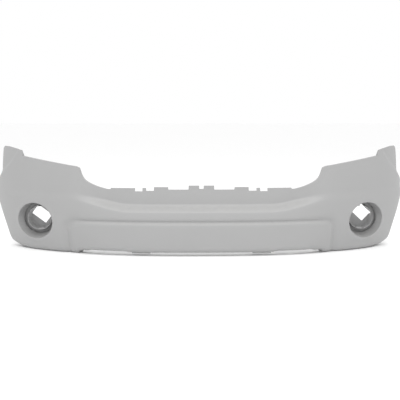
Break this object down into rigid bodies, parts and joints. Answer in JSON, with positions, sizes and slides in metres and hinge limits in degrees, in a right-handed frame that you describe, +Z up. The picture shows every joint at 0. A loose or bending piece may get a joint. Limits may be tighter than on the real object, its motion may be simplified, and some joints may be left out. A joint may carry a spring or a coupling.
{
  "type": "bumper cover",
  "caption": "Painted plastic front bumper cover of a car, with a grille recess, a raised lower panel, round fog-lamp recesses, side flanges and hidden fittings.",
  "frame": {"origin": "bottom middle of the bounding box, on the symmetry plane, on the plane the cover stands on", "axes": "+X along the cover to the viewer's right when seen from the front, +Y rearwards into the car, +Z up; the front faces -Y"},
  "size_m": [1.9148, 0.4895, 0.451],
  "materials": {
    "primer": "grey primer, satin",
    "cup_plastic": "grey primer, matte",
    "strip_plastic": "black moulded",
    "zinc_steel": "zinc plated",
    "spring_steel": "black phosphate"
  },
  "bodies": {
    "root": {"bumper_skin": "primer", "left_fog_cup": "cup_plastic", "right_fog_cup": "cup_plastic", "upper_reinforcement": "strip_plastic", "lower_reinforcement": "strip_plastic", "left_fender_bracket": "strip_plastic", "right_fender_bracket": "strip_plastic", "upper_push_nut_1": "spring_steel", "upper_push_nut_2": "spring_steel", "upper_push_nut_3": "spring_steel", "upper_push_nut_4": "spring_steel", "upper_push_nut_5": "spring_steel", "upper_push_nut_6": "spring_steel", "lower_screw_1": "zinc_steel", "lower_screw_2": "zinc_steel", "lower_screw_3": "zinc_steel", "lower_screw_4": "zinc_steel", "left_cup_screw_1": "zinc_steel", "left_cup_screw_2": "zinc_steel", "left_cup_screw_3": "zinc_steel", "left_fender_push_nut_1": "spring_steel", "left_arch_clip_1": "spring_steel", "left_bottom_clip_1": "spring_steel", "left_fender_push_nut_2": "spring_steel", "left_arch_clip_2": "spring_steel", "left_bottom_clip_2": "spring_steel", "right_cup_screw_1": "zinc_steel", "right_cup_screw_2": "zinc_steel", "right_cup_screw_3": "zinc_steel", "right_fender_push_nut_1": "spring_steel", "right_arch_clip_1": "spring_steel", "right_bottom_clip_1": "spring_steel", "right_fender_push_nut_2": "spring_steel", "right_arch_clip_2": "spring_steel", "right_bottom_clip_2": "spring_steel"}
  },
  "joints": []
}
